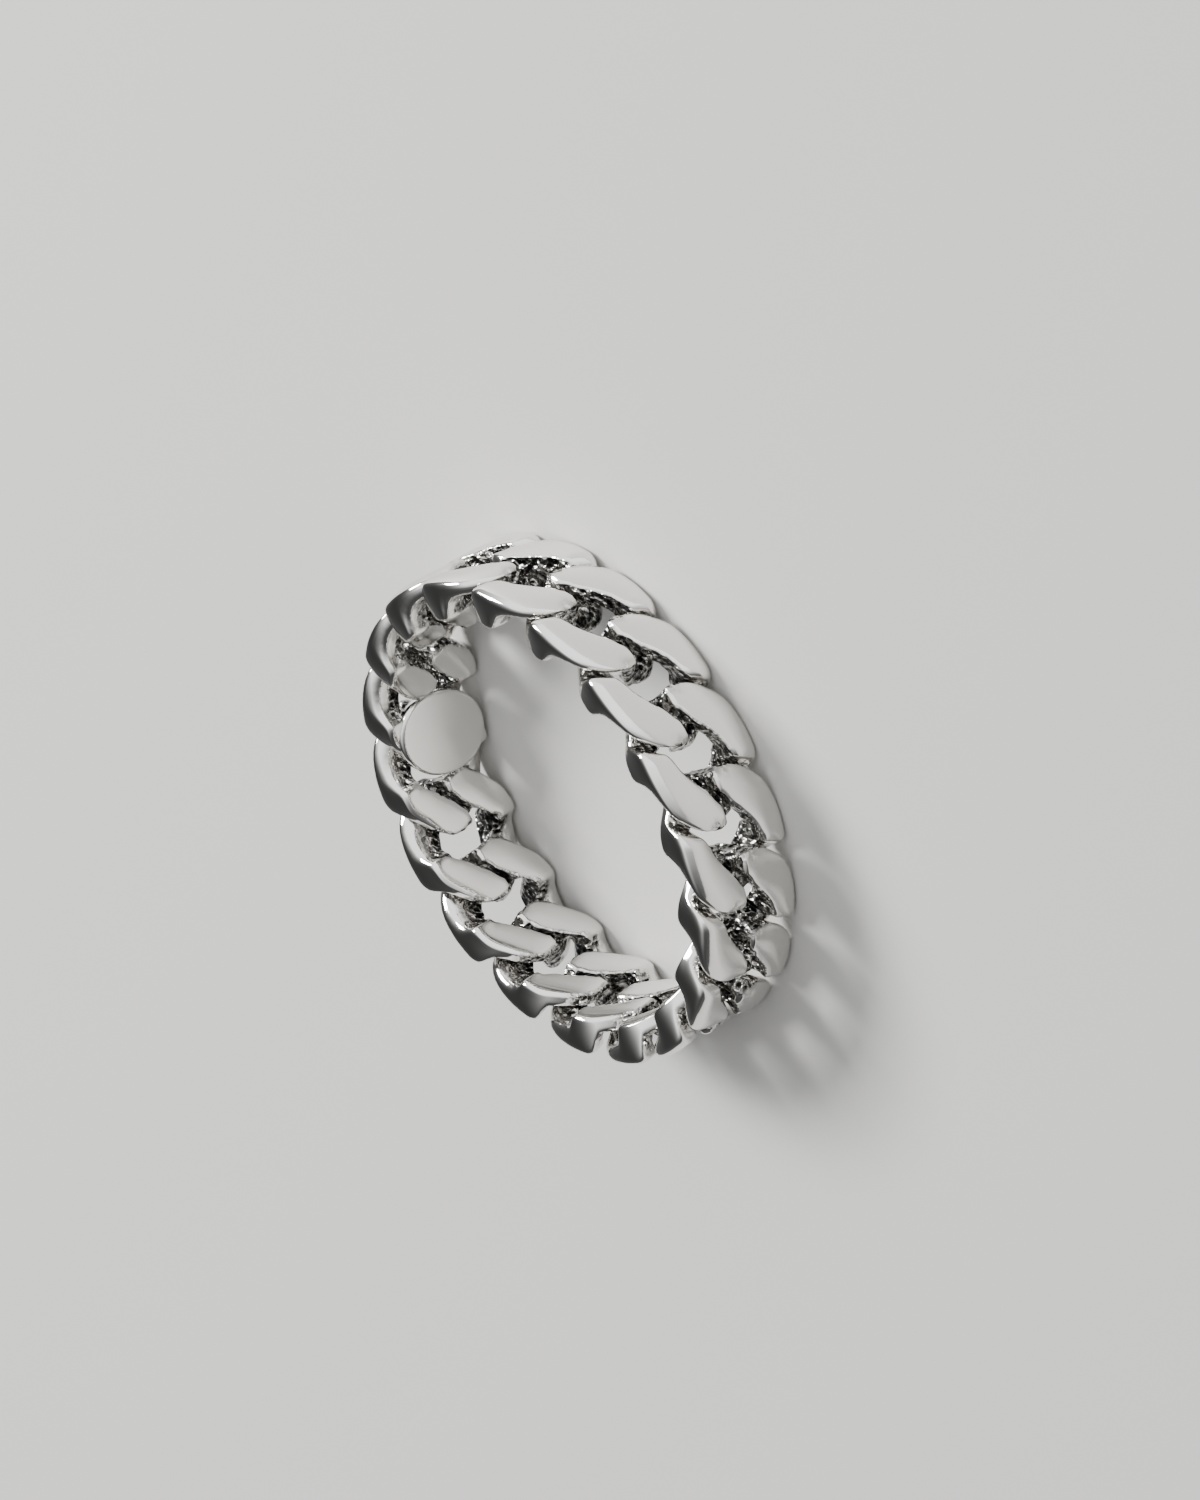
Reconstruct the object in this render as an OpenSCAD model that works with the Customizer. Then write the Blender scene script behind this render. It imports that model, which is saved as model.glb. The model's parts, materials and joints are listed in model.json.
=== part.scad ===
// Chain link ring: a closed band of eighteen interlocking curb links, ground flat outside, inside and at
// both rims, with one oval plate soldered inside. The ring lies on one rim: +Z runs along the finger hole,
// and z = 0 is the surface that it rests on.

/* [Band] */
// Diameter of the finger hole
inner_d = 19.8; // [16:0.1:23]
// Thickness of the band, from the inner facets to the outer facets
wall = 2.1; // [1.6:0.1:2.6]
// Width of the band along the finger
band_w = 5.5; // [4.4:0.1:6.6]
// Number of links
links = 18; // [17:1:19]
// Rounding of the wire's edges
edge_r = 0.3; // [0.1:0.05:0.4]
// How far the wire's rim side bulges between its edges
crown = 0.12; // [0:0.02:0.2]

/* [Plate] */
// Length of the oval plate
plate_l = 4.8; // [3.6:0.1:5]
// Width of the oval plate
plate_w = 3.9; // [3:0.1:4.4]
// Turn of the plate's length from the finger's direction
plate_turn = 38; // [0:1:90]
// How far the plate's middle lies from the band's, towards the rim that the ring rests on
plate_shift = 0.12; // [0:0.02:0.2]
// Thickness of the plate
plate_t = 0.5; // [0.4:0.05:0.6]
// How far the plate's face stands in from the inner facets
plate_proud = 0.2; // [0.1:0.05:0.3]
// Rounding of the plate's edge
plate_r = 0.18; // [0.1:0.02:0.25]
// The link that carries the plate, which reaches over the next one
plate_link = 8; // [2:1:16]
// Free gap round the plate where it reaches over the next link
plate_gap = 0.16; // [0.12:0.01:0.3]

/* [Hidden] */

inner_r = inner_d / 2;
half_w = band_w / 2;
pitch_a = 360 / links;
pitch_mm = 2 * PI * (inner_r + wall / 2) / links;

// One half of a link's loop, which the other half repeats half a turn on. Columns:
// turn, the direction from the link's middle; hole_in, hole_out, edge_in and edge_out, how far the wire's
// hole side and edge side reach, at its inner and at its outer face, as shares of the pitch along the band
// and of half the width across it; floor and roof, the depths of those two faces as shares of the wall.
LOOP = [
    [0, 0.560, 0.600, 0.860, 0.775, 0.00, 0.84],
    [8, 0.480, 0.530, 0.895, 0.830, 0.00, 0.45],
    [22, 0.425, 0.460, 0.940, 0.840, 0.00, 0.45],
    [36, 0.405, 0.440, 0.925, 0.860, 0.00, 0.45],
    [50, 0.405, 0.460, 0.915, 0.880, 0.00, 0.45],
    [60, 0.425, 0.560, 0.935, 0.920, 0.00, 0.46],
    [66, 0.450, 0.660, 0.960, 0.955, 0.00, 0.66],
    [72, 0.490, 0.570, 0.980, 0.995, 0.00, 0.93],
    [79, 0.550, 0.510, 0.990, 1.020, 0.00, 1.00],
    [85, 0.570, 0.480, 0.995, 1.020, 0.02, 1.00],
    [91, 0.545, 0.458, 0.995, 1.018, 0.25, 1.00],
    [98, 0.475, 0.443, 0.988, 1.008, 0.42, 1.00],
    [105, 0.420, 0.425, 0.975, 1.000, 0.49, 1.00],
    [114, 0.400, 0.405, 0.950, 0.985, 0.54, 1.00],
    [130, 0.385, 0.390, 0.900, 0.935, 0.55, 1.00],
    [147, 0.400, 0.400, 0.845, 0.895, 0.55, 1.00],
    [160, 0.460, 0.440, 0.830, 0.855, 0.55, 1.00],
    [168, 0.620, 0.500, 0.840, 0.835, 0.28, 1.00],
    [174, 0.650, 0.550, 0.850, 0.805, 0.02, 1.00]
];

function link_name(i) = str("link_", i < 10 ? "0" : "", i);

// A point of the band: x along it in pitches, z across it in half widths, depth out from the hole in walls
function band_point(x, z, depth) =
    let (r = inner_r + wall * depth, a = x * pitch_a)
    [r * cos(a), r * sin(a), half_w + half_w * max(-1, min(1, z))];

// From the corner p towards its neighbour a, as far as the rounding reaches
function towards(p, a) = (a - p) / norm(a - p) * min(edge_r, 0.42 * norm(a - p));

// The corner p cut off between its neighbours a and b, and the same corner rounded by a third point
function cut_off(p, a, b) = [p + towards(p, a), p + towards(p, b)];
function rounded(p, a, b) =
    [p + towards(p, a), p + 0.28 * (towards(p, a) + towards(p, b)), p + towards(p, b)];

// The eleven corners of the wire's section at one row of the loop. The rim side bulges most at the rim.
function section(row, half) =
    let (
        t = row[0] + half,
        mm = norm([pitch_mm * cos(t), half_w * sin(t)]),
        hole_in = [row[1] * mm, row[5] * wall],
        edge_in = [row[3] * mm, row[5] * wall],
        edge_out = [row[4] * mm, row[6] * wall],
        hole_out = [row[2] * mm, row[6] * wall],
        side = edge_out - edge_in,
        bulge = [side[1], -side[0]] / norm(side) * crown * pow(sin(t), 2),
        outline = concat(
            cut_off(hole_in, hole_out, edge_in),
            rounded(edge_in, hole_in, edge_out),
            [edge_in + 0.6 * side + bulge],
            rounded(edge_out, edge_in, hole_out),
            cut_off(hole_out, edge_out, hole_in)
        )
    )
    [for (p = outline) band_point(p[0] / mm * cos(t), p[0] / mm * sin(t), p[1] / wall)];

sections = [for (half = [0, 180]) for (row = LOOP) section(row, half)];
corners = len(sections[0]);
link_points = [for (s = sections) each s];
link_faces = [for (j = [0:len(sections) - 1]) for (k = [0:corners - 1])
    let (
        a = j * corners + k,
        b = j * corners + (k + 1) % corners,
        c = ((j + 1) % len(sections)) * corners + (k + 1) % corners,
        d = ((j + 1) % len(sections)) * corners + k
    ) each [[a, b, c], [a, c, d]]];

module plain_link(i) {
    rotate([0, 0, (i - 1) * pitch_a])
        polyhedron(points = link_points, faces = link_faces, convexity = 6);
}

// Puts what stands on the XY plane onto the inside of the band, midway between two links, rising outwards
module at_plate() {
    rotate([0, 0, (plate_link - 0.5) * pitch_a])
        translate([inner_r - plate_proud, 0, half_w - plate_shift])
            rotate([0, 90, 0]) rotate([0, 0, plate_turn]) scale([1, plate_w / plate_l, 1]) children();
}

module plate() {
    at_plate() {
        translate([0, 0, plate_r]) cylinder(h = plate_t - plate_r, d = plate_l, $fn = 48);
        cylinder(h = plate_t, d = plate_l - 2 * plate_r, $fn = 48);
        rotate_extrude($fn = 48) translate([plate_l / 2 - plate_r, plate_r]) circle(r = plate_r, $fn = 16);
    }
}

module link(i) {
    color("silver")
        if (i == plate_link) {
            union() {
                plain_link(i);
                plate();
            }
        } else if (i == plate_link + 1) {
            difference() {
                plain_link(i);
                at_plate() translate([0, 0, -wall])
                    cylinder(h = wall + plate_t + plate_gap, d = plate_l + 2.4 * plate_gap, $fn = 48);
            }
        } else {
            plain_link(i);
        }
}

for (i = [1:links])
    link(i);
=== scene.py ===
# %% [markdown]
# # Chain link ring
# The ring is a closed band of curb links. A curb link starts as a round ring of wire that is twisted and then
# ground flat, so that each link shows two long facets outside, two short ones inside, and a flat at each rim.
# The links are the same, so one is made with care and Geometry Nodes repeat it round the finger hole.

# %% Load the fixed model
import json
import math

import bmesh
import bpy
import numpy as np
from mathutils import Matrix, Vector

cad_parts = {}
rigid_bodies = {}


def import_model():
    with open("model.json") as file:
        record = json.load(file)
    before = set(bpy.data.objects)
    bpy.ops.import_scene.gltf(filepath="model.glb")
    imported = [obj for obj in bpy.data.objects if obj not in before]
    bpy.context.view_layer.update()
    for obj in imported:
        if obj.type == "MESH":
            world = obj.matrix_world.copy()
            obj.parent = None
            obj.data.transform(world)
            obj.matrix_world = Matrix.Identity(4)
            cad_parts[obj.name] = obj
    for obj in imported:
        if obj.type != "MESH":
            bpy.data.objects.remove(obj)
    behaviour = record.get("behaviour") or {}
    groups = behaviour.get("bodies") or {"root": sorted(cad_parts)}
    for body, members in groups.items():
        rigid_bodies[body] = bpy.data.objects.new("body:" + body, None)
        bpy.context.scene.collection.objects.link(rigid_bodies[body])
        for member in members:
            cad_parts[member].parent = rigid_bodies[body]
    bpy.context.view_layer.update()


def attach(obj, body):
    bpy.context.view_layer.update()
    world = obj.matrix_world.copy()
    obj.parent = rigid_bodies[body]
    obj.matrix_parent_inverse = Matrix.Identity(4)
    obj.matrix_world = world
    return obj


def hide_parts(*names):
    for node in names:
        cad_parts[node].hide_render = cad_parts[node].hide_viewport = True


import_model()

# %% [markdown]
# The sizes are the ones that the solids were made from. They are in millimetres, and are divided by 1000
# where they are handed to Blender, which counts in metres.

# %% Sizes in millimetres
INNER_R = 9.9
WALL = 2.1
HALF_W = 2.75
LINKS = 18
PITCH = 360 / LINKS
PITCH_MM = 2 * math.pi * (INNER_R + WALL / 2) / LINKS

# %% [markdown]
# A link's loop is told by a short table. Each row is one direction seen from the link's middle, and says how
# far the wire's hole side and edge side reach, and how deep its inner and outer faces lie. The second half
# turn repeats the first, because a curb link looks the same when it is turned half round. A curve with a
# bevel would be quicker, but its section keeps one form, and grinding changes the wire's all the way round.

# %% The loop's table
# turn; hole_in, hole_out, edge_in, edge_out (shares of the pitch and half width); floor, roof (of the wall)
LOOP = np.array([
    [0, 0.560, 0.600, 0.860, 0.775, 0.00, 0.84],
    [8, 0.480, 0.530, 0.895, 0.830, 0.00, 0.45],
    [22, 0.425, 0.460, 0.940, 0.840, 0.00, 0.45],
    [36, 0.405, 0.440, 0.925, 0.860, 0.00, 0.45],
    [50, 0.405, 0.460, 0.915, 0.880, 0.00, 0.45],
    [60, 0.425, 0.560, 0.935, 0.920, 0.00, 0.46],
    [66, 0.450, 0.660, 0.960, 0.955, 0.00, 0.66],
    [72, 0.490, 0.570, 0.980, 0.995, 0.00, 0.93],
    [79, 0.550, 0.510, 0.990, 1.020, 0.00, 1.00],
    [85, 0.570, 0.480, 0.995, 1.020, 0.02, 1.00],
    [91, 0.545, 0.458, 0.995, 1.018, 0.25, 1.00],
    [98, 0.475, 0.443, 0.988, 1.008, 0.42, 1.00],
    [105, 0.420, 0.425, 0.975, 1.000, 0.49, 1.00],
    [114, 0.400, 0.405, 0.950, 0.985, 0.54, 1.00],
    [130, 0.385, 0.390, 0.900, 0.935, 0.55, 1.00],
    [147, 0.400, 0.400, 0.845, 0.895, 0.55, 1.00],
    [160, 0.460, 0.440, 0.830, 0.855, 0.55, 1.00],
    [168, 0.620, 0.500, 0.840, 0.835, 0.28, 1.00],
    [174, 0.650, 0.550, 0.850, 0.805, 0.02, 1.00],
])
print("rows in half a loop:", len(LOOP))

# %% [markdown]
# Straight lines between the rows would leave corners. A cubic curve through them is smooth, and slopes that
# are limited by their neighbours keep it from swinging past a row, so a flat stays flat.

# %% A smooth curve through the table
HALF_TURN = 180
NEARLY_ZERO = 1e-9


def limited_slopes(x, y):
    rise = np.diff(y, axis=0) / np.diff(x)[:, None]
    before, after = rise[:-1], rise[1:]
    total = np.where(np.abs(before + after) < NEARLY_ZERO, 1, before + after)
    middle = np.where(before * after > 0, 2 * before * after / total, 0)
    return np.vstack([rise[:1], middle, rise[-1:]])


def smooth_loop(turns):
    half_turn_on = np.zeros(LOOP.shape[1])
    half_turn_on[0] = HALF_TURN
    rows = np.vstack([LOOP[-3:] - half_turn_on, LOOP, LOOP[:3] + half_turn_on])
    x, y = rows[:, 0], rows[:, 1:]
    slopes = limited_slopes(x, y)
    at = np.mod(turns, HALF_TURN)
    k = np.searchsorted(x, at, side="right") - 1
    width = (x[k + 1] - x[k])[:, None]
    s = (at - x[k])[:, None] / width
    return ((2 * s ** 3 - 3 * s ** 2 + 1) * y[k] + (s ** 3 - 2 * s ** 2 + s) * width * slopes[k]
            + (3 * s ** 2 - 2 * s ** 3) * y[k + 1] + (s ** 3 - s ** 2) * width * slopes[k + 1])


# Rings of points lie close together where the wire changes fast: at its tips and where it climbs
STRETCHES = ((0, 8, 7), (8, 52, 10), (52, 96, 18), (96, 156, 10), (156, 180, 12))
half_turn = np.concatenate([np.linspace(a, b, n, endpoint=False) for a, b, n in STRETCHES])
turns = np.concatenate([half_turn, half_turn + HALF_TURN])
print("rings of points round a link's loop:", len(turns))

# %% [markdown]
# On polished metal no rounding starts with a jerk, so two soft curves are used all over. The first rises
# from 0 to 1 and is level at both ends. The second bends a reach so that it stops at 1, which is the band's
# rim, where grinding has cut all the links level.

# %% Soft curves
def soft_step(value, start, end):
    s = np.clip((value - start) / (end - start), 0, 1)
    return s * s * (3 - 2 * s)


def soft_limit(value, knee=0.8, top=1.07):
    reach = np.clip(np.abs(value), 0, top)
    over = np.maximum(reach - knee, 0) / (top - knee)
    return np.sign(value) * (reach - (top - 1) * over ** 2)


def swell(value, comes, goes):
    return float(soft_step(value, *comes) * (1 - soft_step(value, *goes)))


print("a reach of 1.02 half widths ends at", round(float(soft_limit(1.02)), 3))

# %% [markdown]
# The wire's section has four corners: hole side and edge side at the inner face, then edge side and hole side
# at the outer face. Grinding leaves those at the hole crisp, and the polishing wheel wears down those at the
# edge. A Bevel modifier would give all of them one width, so each has its own two lengths here: how far its
# rounding reaches along the side before it, and along the side after it.

# %% Roundings of the corners
ROUND_HOLE = 0.16
ROUND_EDGE = 0.24
# At the rims, added to the edge's
ROUND_RIM = 0.22
# On the outer facets, from their edge
ROUND_FACET = 0.7
# Under the wire, where it has climbed clear of the finger, and the turns where that comes and goes
ROUND_UNDER = 0.65
UNDER_COMES = (78, 96)
UNDER_GOES = (128, 150)
# At the end of an inner facet, and the turns where that comes and goes
ROUND_END = 0.5
END_COMES = (74, 90)
END_GOES = (100, 120)


def corner_roundings(turn):
    around = math.degrees(turn) % HALF_TURN
    at_rim = math.sin(turn) ** 2
    under = swell(around, UNDER_COMES, UNDER_GOES)
    end = swell(around, END_COMES, END_GOES)
    inner_hole = ROUND_HOLE + (ROUND_END - ROUND_HOLE) * end
    inner_edge = ROUND_EDGE + (ROUND_UNDER - ROUND_EDGE) * under
    outer_edge = ROUND_EDGE + ROUND_RIM * at_rim
    return ((ROUND_HOLE, inner_hole), (inner_edge, inner_edge),
            (outer_edge, ROUND_FACET), (ROUND_HOLE, ROUND_HOLE))


rim_roundings = corner_roundings(math.pi / 2)
print("roundings at the rim in mm:", [[round(v, 2) for v in pair] for pair in rim_roundings])

# %% [markdown]
# Each rounding is a short curve that bends towards its corner, and straight sides join the four of them.
# Every ring gets the same number of points, so that the rings join up into one closed skin.

# %% Rounded outline of the section
CORNER_POINTS = 7
SIDE_POINTS = 5
# The most of a side that one rounding may take
MOST_OF_A_SIDE = 0.45


def rounded_outline(quad, turn):
    arcs = []
    for k, (before, after) in enumerate(corner_roundings(turn)):
        here = quad[k]
        back = quad[k - 1] - here
        on = quad[(k + 1) % 4] - here
        back = back * min(before / np.linalg.norm(back), MOST_OF_A_SIDE)
        on = on * min(after / np.linalg.norm(on), MOST_OF_A_SIDE)
        s = np.linspace(0, 1, CORNER_POINTS)[:, None]
        arcs.append(here + (1 - s) ** 2 * back + s ** 2 * on)
    points = []
    for k in range(4):
        start, end = arcs[k][-1], arcs[(k + 1) % 4][0]
        s = np.linspace(0, 1, SIDE_POINTS + 2)[1:-1, None]
        points += [arcs[k], start + (end - start) * s]
    return np.vstack(points)


print("points on a section:", 4 * (CORNER_POINTS + SIDE_POINTS))

# %% [markdown]
# A truly flat mirror shows one tone from edge to edge. The real facets and rim sides are a little crowned by
# the soft wheel, so their tone runs and their edges catch the light. Crowns of about 0.1 mm are enough, and
# they are built, because a material's bump would not show in the outline.

# %% The wire's section
CROWN = 0.12
FACET_CROWN = 0.11
# along * along * (1 - along) is highest at two thirds, and this makes that height 1
BULGE_PEAK = 27 / 4
# Where the rim side's bulge comes in, as shares of the way out from the link's middle
BULGE_COMES = (0.55, 0.85)
# Depths, as shares of the wall, between which a point comes to belong to the outer or inner face
OUTER_FACE = (0.9, 1.0)
INNER_FACE = (0.1, 0.0)


def rounded_section(row, turn):
    hole_in, hole_out, edge_in, edge_out, low, high = row
    mm = math.hypot(PITCH_MM * math.cos(turn), HALF_W * math.sin(turn))
    quad = np.array([[hole_in * mm, low * WALL], [edge_in * mm, low * WALL],
                     [edge_out * mm, high * WALL], [hole_out * mm, high * WALL]])
    points = rounded_outline(quad, turn)
    side = quad[2] - quad[1]
    along = np.clip((points - quad[1]) @ side / (side @ side), 0, 1)
    near_edge = soft_step(points[:, 0], BULGE_COMES[0] * mm, BULGE_COMES[1] * mm)
    points[:, 0] += CROWN * math.sin(turn) ** 2 * BULGE_PEAK * along ** 2 * (1 - along) * near_edge
    middle = (quad[:, 0].min() + quad[:, 0].max()) / 2
    off_middle = np.clip(2 * np.abs(points[:, 0] - middle) / np.ptp(quad[:, 0]), 0, 1) ** 2
    depth = points[:, 1] / WALL
    on_faces = soft_step(depth, *OUTER_FACE) - soft_step(depth, *INNER_FACE)
    points[:, 1] -= FACET_CROWN * off_middle * on_faces
    return points / (mm, WALL)


rim_reach = rounded_section(smooth_loop(np.array([90.0]))[0], math.pi / 2)[:, 0]
print("at the rim the wire reaches from", round(float(rim_reach.min()), 2), "to",
      round(float(rim_reach.max()), 2), "half widths")

# %% [markdown]
# Polished facets and rough recesses meet on the same link. Two materials would leave a hard line between
# them, so each point has a number instead, 0 on what the wheel reached and 1 where the casting's skin is
# left. One material reads it and shows both, and paints the skin darker there as painted shade between the
# links.

# %% How much cast skin a point shows
# Turns where the wire dives under its neighbour and comes out again
DIVES = (150, 164)
COMES_OUT = (30, 50)
# How far out an inner face, and how far in an outer face, is out of the wheel's reach, as shares of the wall
INNER_LIFTS = (0.04, 0.2)
OUTER_SINKS = (0.1, 0.45)
# The share of an inner face's skin that is left at its edge side
WORN_SKIN = 0.15
# How late the skin changes over each corner: above 1 late, below 1 early
CHANGES = (1, 0.4, 1, 2)


def cast_share(row, turn):
    low, high = row[4], row[5]
    around = math.degrees(turn) % HALF_TURN
    tail = float(soft_step(around, *DIVES) + 1 - soft_step(around, *COMES_OUT))
    inner_face = float(soft_step(low, *INNER_LIFTS))
    outer_face = float(soft_step(1 - high, *OUTER_SINKS))
    sides = (inner_face, min(tail, 1), outer_face, 1.0)
    share = []
    for k, change in enumerate(CHANGES):
        blend = np.linspace(0, 1, CORNER_POINTS) ** change
        before = sides[k - 1] * (WORN_SKIN if k == 1 else 1)
        wear = np.linspace(1, WORN_SKIN, SIDE_POINTS) if k == 0 else np.ones(SIDE_POINTS)
        share += [before * (1 - blend) + sides[k] * blend, sides[k] * wear]
    return np.concatenate(share)


for degrees in (40.0, 90.0):
    shares = cast_share(smooth_loop(np.array([degrees]))[0], math.radians(degrees))
    print("cast skin round the wire at turn", degrees, "is", round(float(shares.mean()), 2), "on average")

# %% [markdown]
# A link's points are worked out flat, along and across the band, and then bent round the finger: the way
# along the band turns into an angle and the depth into a radius. A Simple Deform modifier bends too, but this
# way the facets lie on the same cylinders as those of the solids. A face shows its outside where its corners
# run against the clock. Round the wire they run with it, so they are taken the other way, and the volume is
# measured, because it is above zero only where the faces look outwards.

# %% Points of one link
def put_in_scene(made):
    bpy.context.scene.collection.objects.link(made)
    return made


def mesh_object(name, points, faces, smooth=True):
    mesh = bpy.data.meshes.new(name)
    mesh.from_pydata(points, [], faces)
    mesh.polygons.foreach_set("use_smooth", [smooth] * len(faces))
    mesh.update()
    return put_in_scene(bpy.data.objects.new(name, mesh))


def faces_between(here, there, per_ring):
    return [(here + k, here + (k + 1) % per_ring, there + (k + 1) % per_ring, there + k)
            for k in range(per_ring)]


def volume_mm3(piece):
    skin = bmesh.new()
    skin.from_mesh(piece.data)
    volume = skin.calc_volume(signed=True) * 1000 ** 3
    skin.free()
    return round(volume, 2)


points, rough = [], []
for row, degrees in zip(smooth_loop(turns), turns):
    turn = math.radians(degrees)
    section = rounded_section(row, turn)
    along = section[:, 0] * math.cos(turn)
    across = soft_limit(section[:, 0] * math.sin(turn))
    radius = INNER_R + WALL * section[:, 1]
    angle = np.radians(along * PITCH)
    height = HALF_W + HALF_W * across
    points.append(np.stack([radius * np.cos(angle), radius * np.sin(angle), height], 1))
    rough.append(cast_share(row, turn))
per_ring = len(points[0])
points = np.vstack(points) / 1000
rough = np.concatenate(rough)
faces = []
for j in range(len(turns)):
    with_clock = faces_between(j * per_ring, (j + 1) % len(turns) * per_ring, per_ring)
    faces += [(a, d, c, b) for a, b, c, d in with_clock]
one_link = mesh_object("one_link", points.tolist(), faces)
one_link.data.attributes.new("cast", "FLOAT", "POINT").data.foreach_set("value", rough)
print("one link has", len(faces) * 2, "triangles, the band", len(faces) * 2 * LINKS)
print("volume of one link:", volume_mm3(one_link), "cubic mm")

# %% [markdown]
# One function adds every node, in materials and in Geometry Nodes alike: it makes the node, sets what is
# named, and joins up the inputs that are given. Colours are written as on a screen, and a second function
# turns them into the amounts of light that Blender counts in.

# %% Add a node
def node(tree, kind, inputs=None, **settings):
    made = tree.nodes.new(kind)
    for name, value in settings.items():
        setattr(made, name, value)
    for key, value in (inputs or {}).items():
        socket = made.inputs[key]
        if isinstance(value, bpy.types.NodeSocket):
            tree.links.new(value, socket)
        else:
            socket.default_value = value
    return made


def linear(hexed):
    parts = [int(hexed[i:i + 2], 16) / 255 for i in (1, 3, 5)]
    return tuple(v / 12.92 if v <= 0.04045 else ((v + 0.055) / 1.055) ** 2.4 for v in parts) + (1.0,)


print("mid grey #808080 is", round(linear("#808080")[0], 3), "of full light")

# %% [markdown]
# The metal is polished sterling silver. A buffing wheel leaves it almost a mirror, with hairlines too fine to
# count, and can't reach between the links, where the skin of the casting stays grainy. There its colour is
# painted darker, darkest in the hollows of the crinkles: painted shade between the links and in the skin.
# Real crinkles in that skin are under 0.1 mm wide, and are drawn as coarse as they need to be to show. A Mix
# node has its colours at inputs 6 and 7 and its plain numbers at 2 and 3.

# %% Polished silver with cast recesses
# Widths of the casting's crinkles and lumps and of the wheel's haze, and the height of the skin's bumps
CRINKLE_MM = 0.3
LUMP_MM = 0.6
HAZE_MM = 3.0
BUMP_MM = 0.2
# How much the lumps count beside the crinkles, and the heights where the skin's painted shade is deepest and
# where it ends
LUMP_WEIGHT = 1.6
HOLLOW = 1.08
PEAK = 1.55
# Roughness where the wheel pressed most and least, the noise that says where, and the skin's roughness
POLISHED = (0.07, 0.12)
HAZE_ENDS = (0.3, 0.7)
CAST_ROUGHNESS = 0.14
SILVER = linear("#E9E7E3")
# The skin's dark colour is painted shade, for its hollows and the recesses between the links; its peaks are a
# lighter grey
SKIN_PAINTED_SHADE = linear("#1F1E1D")
SKIN_LIGHT = linear("#BFBDB9")


def per_metre(width_mm):
    return 1000 / width_mm


def silver_material():
    material = bpy.data.materials.new("polished_sterling_silver")
    material.use_nodes = True
    tree = material.node_tree
    tree.nodes.clear()
    out = node(tree, "ShaderNodeOutputMaterial")
    place = node(tree, "ShaderNodeTexCoord").outputs["Object"]
    cast = node(tree, "ShaderNodeAttribute", attribute_name="cast").outputs["Fac"]
    crinkle = node(tree, "ShaderNodeTexVoronoi", {"Vector": place, "Scale": per_metre(CRINKLE_MM)})
    lumps = node(tree, "ShaderNodeTexNoise",
                 {"Vector": place, "Scale": per_metre(LUMP_MM), "Detail": 3, "Roughness": 0.6})
    haze = node(tree, "ShaderNodeTexNoise",
                {"Vector": place, "Scale": per_metre(HAZE_MM), "Detail": 4, "Roughness": 0.6})
    height = node(tree, "ShaderNodeMath",
                  {0: lumps.outputs["Fac"], 1: LUMP_WEIGHT, 2: crinkle.outputs["Distance"]},
                  operation="MULTIPLY_ADD")
    cast_bump = node(tree, "ShaderNodeBump",
                     {"Height": height.outputs[0], "Strength": cast, "Distance": BUMP_MM / 1000})
    peaks = node(tree, "ShaderNodeMapRange",
                 {"Value": height.outputs[0], "From Min": HOLLOW, "From Max": PEAK})
    # Painted shade: the skin is darkest in its hollows, and where the cast share is 1, between the links, it
    # darkens the silver
    skin = node(tree, "ShaderNodeMix", {0: peaks.outputs[0], 6: SKIN_PAINTED_SHADE, 7: SKIN_LIGHT}, data_type="RGBA")
    tone = node(tree, "ShaderNodeMix", {0: cast, 6: SILVER, 7: skin.outputs[2]}, data_type="RGBA")
    polish = node(tree, "ShaderNodeMapRange",
                  {"Value": haze.outputs["Fac"], "From Min": HAZE_ENDS[0], "From Max": HAZE_ENDS[1],
                   "To Min": POLISHED[0], "To Max": POLISHED[1]})
    roughness = node(tree, "ShaderNodeMix", {0: cast, 2: polish.outputs[0], 3: CAST_ROUGHNESS})
    shader = node(tree, "ShaderNodeBsdfPrincipled",
                  {"Base Color": tone.outputs[2], "Metallic": 1.0, "Roughness": roughness.outputs[0],
                   "Normal": cast_bump.outputs[0]})
    tree.links.new(shader.outputs[0], out.inputs["Surface"])
    return material


silver = silver_material()
print("made", silver.name)

# %% [markdown]
# The real links are all made to one pattern. The tree below makes a point for each link on the finger hole's
# axis, puts the link on it, and gives each its share of a full turn. An Array modifier could do that too, but
# the tree goes on: it makes the copies real and pushes their cast skin in and out by noise that runs on from
# link to link, so no two have the same skin.

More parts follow.
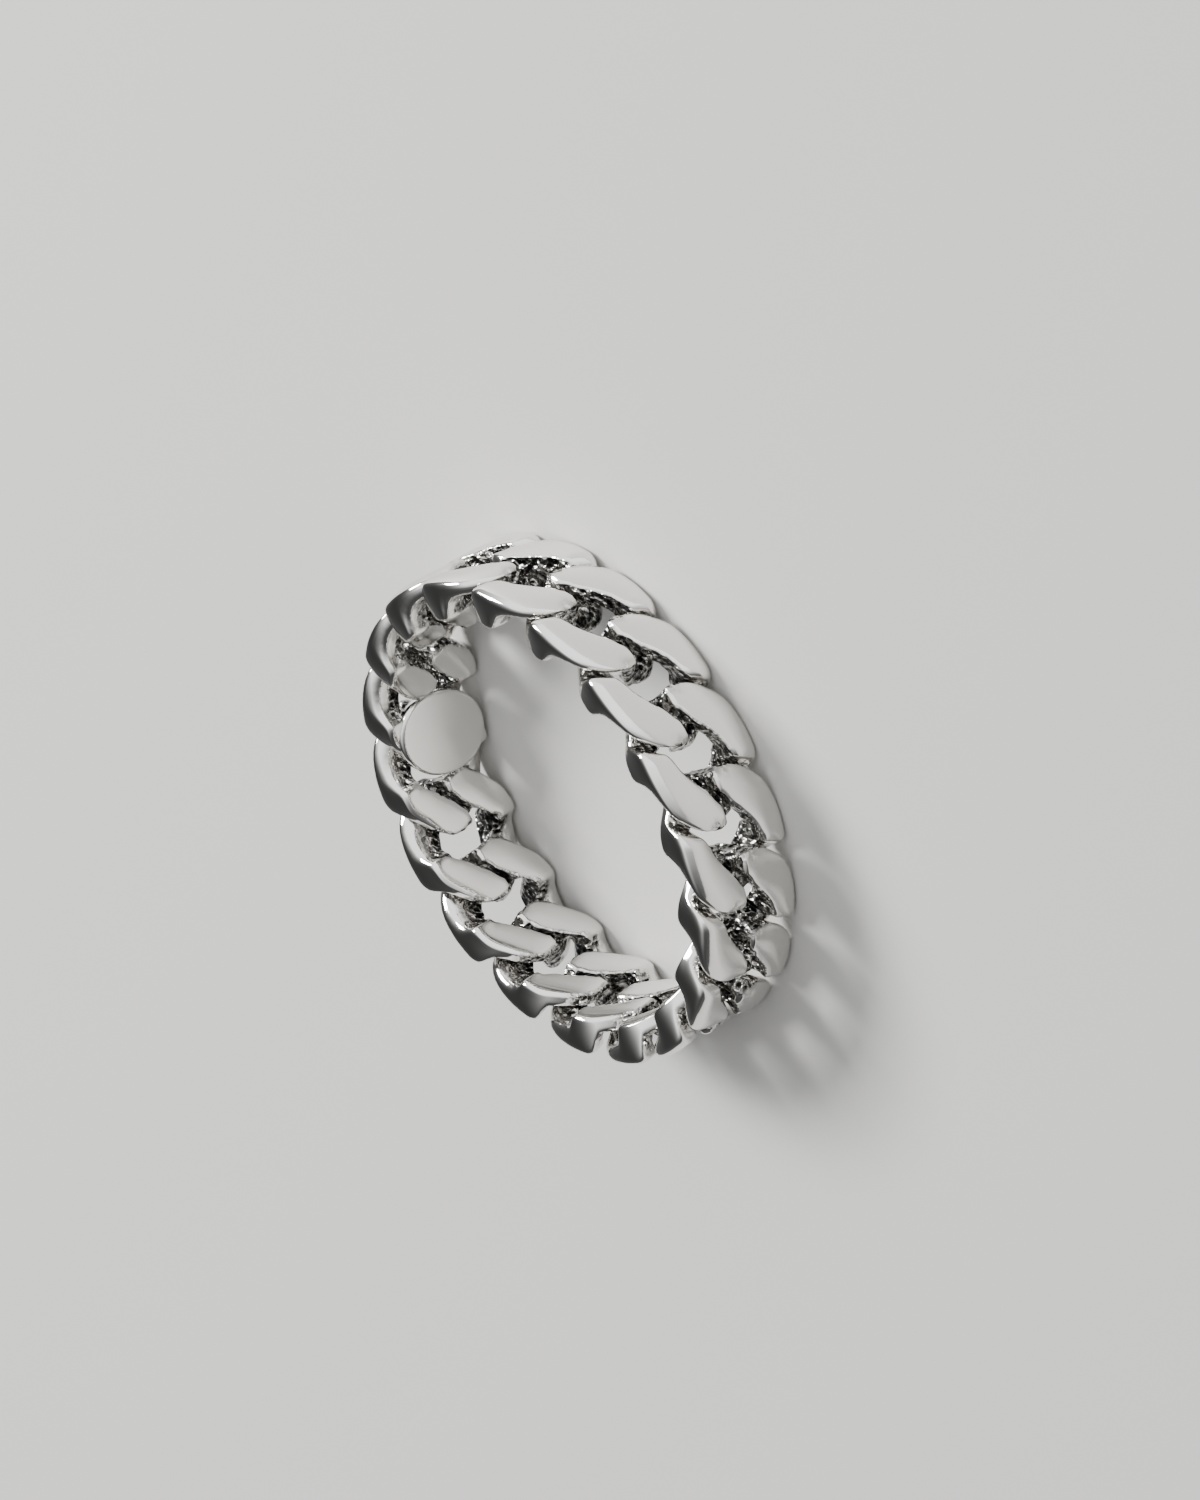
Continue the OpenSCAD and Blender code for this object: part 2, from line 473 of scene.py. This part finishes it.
# %% Tree for a band of links
def band_tree():
    tree = bpy.data.node_groups.new("band_of_links", "GeometryNodeTree")
    face = tree.interface
    face.new_socket("Geometry", in_out="INPUT", socket_type="NodeSocketGeometry")
    face.new_socket("Link", in_out="INPUT", socket_type="NodeSocketObject")
    face.new_socket("Number of links", in_out="INPUT", socket_type="NodeSocketInt")
    face.new_socket("Lump height", in_out="INPUT", socket_type="NodeSocketFloat")
    face.new_socket("Lumps per metre", in_out="INPUT", socket_type="NodeSocketFloat")
    face.new_socket("Metal", in_out="INPUT", socket_type="NodeSocketMaterial")
    face.new_socket("Geometry", in_out="OUTPUT", socket_type="NodeSocketGeometry")
    given = node(tree, "NodeGroupInput").outputs
    link = node(tree, "GeometryNodeObjectInfo", {"Object": given["Link"]})
    axis = node(tree, "GeometryNodePoints", {"Count": given["Number of links"]})
    number = node(tree, "GeometryNodeInputIndex")
    step = node(tree, "ShaderNodeMath", {0: math.tau, 1: given["Number of links"]}, operation="DIVIDE")
    turn = node(tree, "ShaderNodeMath", {0: number.outputs[0], 1: step.outputs[0]}, operation="MULTIPLY")
    spin = node(tree, "ShaderNodeCombineXYZ", {"Z": turn.outputs[0]})
    placed = node(tree, "GeometryNodeInstanceOnPoints",
                  {"Points": axis.outputs[0], "Rotation": spin.outputs[0],
                   "Instance": link.outputs["Geometry"]})
    real = node(tree, "GeometryNodeRealizeInstances", {"Geometry": placed.outputs[0]})
    where = node(tree, "GeometryNodeInputPosition")
    lumps = node(tree, "ShaderNodeTexNoise",
                 {"Vector": where.outputs[0], "Detail": 2, "Scale": given["Lumps per metre"]})
    centred = node(tree, "ShaderNodeMath", {0: 0.5, 1: lumps.outputs["Fac"]}, operation="SUBTRACT")
    share = node(tree, "GeometryNodeInputNamedAttribute", {"Name": "cast"}, data_type="FLOAT")
    size = node(tree, "ShaderNodeMath", {0: share.outputs[0], 1: given["Lump height"]}, operation="MULTIPLY")
    push = node(tree, "ShaderNodeMath", {0: centred.outputs[0], 1: size.outputs[0]}, operation="MULTIPLY")
    normal = node(tree, "GeometryNodeInputNormal")
    offset = node(tree, "ShaderNodeVectorMath", {0: normal.outputs[0], "Scale": push.outputs[0]},
                  operation="SCALE")
    moved = node(tree, "GeometryNodeSetPosition", {"Geometry": real.outputs[0], "Offset": offset.outputs[0]})
    metal = node(tree, "GeometryNodeSetMaterial", {"Geometry": moved.outputs[0], "Material": given["Metal"]})
    node(tree, "NodeGroupOutput", {0: metal.outputs[0]})
    return tree


links_tree = band_tree()
print("made", links_tree.name, "with", len(links_tree.nodes), "nodes")

# %% [markdown]
# A tree works on an object through a modifier. Its inputs are set first, and then the result is read back as
# a plain mesh and the modifier is taken off, so that the band is a solid piece like any other.

# %% The band
LUMP_HEIGHT_MM = 0.16
CAST_LUMP_MM = 0.4


def apply_tree(name, tree, values):
    holder = put_in_scene(bpy.data.objects.new(name, bpy.data.meshes.new(name)))
    modifier = holder.modifiers.new("nodes", "NODES")
    modifier.node_group = tree
    for item in tree.interface.items_tree:
        if item.in_out == "INPUT" and item.name in values:
            modifier[item.identifier] = values[item.name]
    bpy.context.view_layer.update()
    ready = holder.evaluated_get(bpy.context.evaluated_depsgraph_get())
    mesh = bpy.data.meshes.new_from_object(ready)
    holder.modifiers.clear()
    holder.data = mesh
    mesh.name = name
    return holder


band = apply_tree("band", links_tree, {
    "Link": one_link, "Number of links": LINKS, "Lump height": LUMP_HEIGHT_MM / 1000,
    "Lumps per metre": per_metre(CAST_LUMP_MM), "Metal": silver,
})
bpy.data.objects.remove(one_link)
print("band:", len(band.data.vertices), "points,", len(band.data.polygons), "faces")

# %% [markdown]
# The oval plate inside the band is a disc cut from sheet, with an edge rounded by hand, soldered where two
# links meet. A cylinder with a Bevel modifier would do, but its flat face would be all one tone, so the plate
# is built up from rings of points, from the middle of a slightly domed face round its edge to its back. It is
# drawn a little larger and lower than the solid, which has to keep a gap to the links beside it.

# %% Profile of the plate
PLATE_T = 0.5
PLATE_R = 0.18
# The face's rings, as the first and last share of its size and their number, and the rings of its rounding
FACE_RINGS = (0.08, 0.9, 10)
ROUNDED_RINGS = 8
# How far the face's dome would fall out to the edge, and how far down the rounding starts
FACE_FALL = 0.02
EDGE_FALL = 0.015
# The half size that the rounding is measured against, and the small corner at the back
ROUNDED_HALF_SIZE = 2.1
BACK_CORNER = 0.05
BACK_SHARE = 0.97


def plate_rings():
    rings = [(share, FACE_FALL * share ** 4) for share in np.linspace(*FACE_RINGS)]
    for angle in np.linspace(0, math.pi / 2, ROUNDED_RINGS):
        share = 1 - PLATE_R / ROUNDED_HALF_SIZE * (1 - math.sin(angle))
        rings.append((share, PLATE_R * (1 - math.cos(angle)) + EDGE_FALL))
    rings += [(1.0, PLATE_T - BACK_CORNER), (BACK_SHARE, PLATE_T)]
    return rings


rings = plate_rings()
print("rings from the plate's face to its back:", len(rings))

# %% [markdown]
# The rings are stretched to the oval, closed with a fan of faces at each end, and laid on the inside of the
# band midway between two links. Its place is worked into the mesh, and the object stays at the origin.

# %% The plate
PLATE_L = 4.95
PLATE_W = 4.08
PLATE_TURN = math.radians(38)
PLATE_SHIFT = 0.16
PLATE_PROUD = 0.2
PLATE_LINK = 8
PLATE_ANGLE = math.radians((PLATE_LINK - 0.5) * PITCH)
AROUND = 120

plate_points = [(0.0, 0.0, 0.0)]
for share, depth in rings:
    for a in np.linspace(0, math.tau, AROUND, endpoint=False):
        oval = (share * PLATE_L / 2 * math.cos(a), share * PLATE_W / 2 * math.sin(a))
        plate_points.append((*oval, depth))
plate_points.append((0.0, 0.0, PLATE_T))
plate_faces = [(0, 1 + (k + 1) % AROUND, 1 + k) for k in range(AROUND)]
last = 1 + (len(rings) - 1) * AROUND
for start in range(1, last, AROUND):
    plate_faces += faces_between(start, start + AROUND, AROUND)
plate_faces += [(last + k, last + (k + 1) % AROUND, len(plate_points) - 1) for k in range(AROUND)]
seat = Matrix.Translation((INNER_R - PLATE_PROUD, 0, HALF_W - PLATE_SHIFT))
upright = Matrix.Rotation(math.pi / 2, 4, "Y") @ Matrix.Rotation(PLATE_TURN, 4, "Z")
place = Matrix.Rotation(PLATE_ANGLE, 4, "Z") @ seat @ upright
plate = mesh_object("plate", [tuple(place @ Vector(p) / 1000) for p in plate_points], plate_faces)
plate.data.materials.append(silver)
print("plate:", len(plate_faces), "faces,", volume_mm3(plate), "cubic mm")

# %% [markdown]
# The real ring is one rigid thing, so both pieces ride on its one body. The band stands for all the links of
# the solid model, which are hidden in the picture and stay for the tests of weight and rest.

# %% Make the pieces ride on the ring's one body
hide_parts(*[f"link_{i:02d}" for i in range(1, LINKS + 1)])
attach(band, "root")
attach(plate, "root")
print("on the ring's body:", band.name, "and", plate.name)

# %% [markdown]
# The ring lies on a plain pale floor of matt card, which scatters the light and shows a soft shadow and no
# mirror image. The outer facets stand upright and mirror that floor, so it is a pale grey and not white.

# %% Floor
FLOOR_HALF = 3
CARD_ROUGHNESS = 0.7
corners = [(x * FLOOR_HALF, y * FLOOR_HALF, 0) for x, y in ((-1, -1), (1, -1), (1, 1), (-1, 1))]
floor = mesh_object("floor", corners, [(0, 1, 2, 3)], smooth=False)
card = bpy.data.materials.new("matt_pale_grey_card")
card.use_nodes = True
card_shader = card.node_tree.nodes["Principled BSDF"]
card_shader.inputs["Base Color"].default_value = linear("#B8B7B4")
card_shader.inputs["Roughness"].default_value = CARD_ROUGHNESS
floor.data.materials.append(card)
print("floor:", 2 * FLOOR_HALF, "m square of", card.name)

# %% [markdown]
# One large soft light stands beside the ring, a little behind it and high up. It lights the floor that the
# facets mirror, lets the shadow fall to the other side, and draws bright lines along rounded edges. A sun
# would cast a hard shadow. The light's strength is given as its brightness to the eye, and its area turns
# that into watts, so that a change of size leaves the reflections as bright.

# %% Lights
KEY_PLACE_MM = (-208, 448, 373)
KEY_SIZE_MM = 240
KEY_BRIGHTNESS = 58


def soft_light(name, place_mm, size_mm, brightness):
    lamp = bpy.data.lights.new(name, "AREA")
    lamp.size = size_mm / 1000
    lamp.energy = brightness * math.pi * lamp.size ** 2
    made = bpy.data.objects.new(name, lamp)
    made.location = Vector(place_mm) / 1000
    made.rotation_euler = made.location.to_track_quat("Z", "Y").to_euler()
    return put_in_scene(made)


key = soft_light("key", KEY_PLACE_MM, KEY_SIZE_MM, KEY_BRIGHTNESS)
print("key light:", round(key.data.energy, 1), "W")

# %% [markdown]
# A jeweller photographs silver in a tent, because silver shows nothing but its surroundings. White planes
# round the ring could be the tent, but they would stand in some of the views, so the world's own background
# is painted as one: a large white sheet over the camera's side that fades away to -X and -Y, dim walls that
# are brightest at floor height, and a little light all over.

# %% The tent
SHEET = 2.1
WALLS = 0.13
ROOM = 0.01
# How fast the sheet and the walls fade away: 1 is even, and more is sooner dark
SHEET_FADE = 2.6
WALL_FADE = 2.0


def tent_world():
    world = bpy.data.worlds.new("light_tent")
    world.use_nodes = True
    tree = world.node_tree
    tree.nodes.clear()
    out = node(tree, "ShaderNodeOutputWorld")
    looked_at = node(tree, "ShaderNodeTexCoord").outputs["Generated"]

    def fade(direction, dark, bright, kind):
        share = node(tree, "ShaderNodeVectorMath", {0: looked_at, 1: direction}, operation="DOT_PRODUCT")
        ends = {"Value": share.outputs["Value"], "From Min": dark, "From Max": bright}
        return node(tree, "ShaderNodeMapRange", ends, interpolation_type=kind).outputs[0]

    near_side = fade((1, 0, 0), -1.0, 0.05, "LINEAR")
    key_side = fade((0, 1, 0), -1.0, 0.3, "SMOOTHSTEP")
    lowness = fade((0, 0, 1), 1.0, 0.0, "LINEAR")
    faded = node(tree, "ShaderNodeMath", {0: near_side, 1: SHEET_FADE}, operation="POWER")
    sheet = node(tree, "ShaderNodeMath", {0: faded.outputs[0], 1: key_side}, operation="MULTIPLY")
    low = node(tree, "ShaderNodeMath", {0: lowness, 1: WALL_FADE}, operation="POWER")
    walls = node(tree, "ShaderNodeMath", {0: low.outputs[0], 1: WALLS, 2: ROOM}, operation="MULTIPLY_ADD")
    light = node(tree, "ShaderNodeMath", {0: sheet.outputs[0], 1: SHEET, 2: walls.outputs[0]},
                 operation="MULTIPLY_ADD")
    background = node(tree, "ShaderNodeBackground",
                      {"Color": linear("#F7F8FA"), "Strength": light.outputs[0]})
    tree.links.new(background.outputs[0], out.inputs["Surface"])
    return world


bpy.context.scene.world = tent_world()
print("made", bpy.context.scene.world.name)

# %% [markdown]
# The photo was taken from some distance with a long lens, so the near and far parts of the ring look the same
# size. The camera keeps the photo's angle to the ring, which tips the picture: the finger hole's axis runs
# down to the left.

# %% Camera
AZIMUTH = 4.59
ELEVATION = 29.12
ROLL = -119.25
DISTANCE_MM = 556.9
AIM_RIGHT_MM = 1.06
AIM_DOWN_MM = -2.20
SENSOR_MM = 36
LENS_MM = 375
camera_data = bpy.data.cameras.new("camera")
camera_data.sensor_fit = "HORIZONTAL"
camera_data.sensor_width = SENSOR_MM
camera_data.lens = LENS_MM
camera = put_in_scene(bpy.data.objects.new("camera", camera_data))
az, el = math.radians(AZIMUTH), math.radians(ELEVATION)
towards = Vector((math.cos(el) * math.cos(az), math.cos(el) * math.sin(az), math.sin(el)))
turned = towards.to_track_quat("Z", "Y").to_matrix() @ Matrix.Rotation(math.radians(ROLL), 3, "Z")
right, up = turned.col[0], turned.col[1]
aim = Vector((0, 0, HALF_W)) + right * AIM_RIGHT_MM - up * AIM_DOWN_MM
camera.matrix_world = Matrix.Translation((aim + towards * DISTANCE_MM) / 1000) @ turned.to_4x4()
bpy.context.scene.camera = camera
print("camera axes:", [[round(v, 4) for v in axis] for axis in (right, up, towards)])
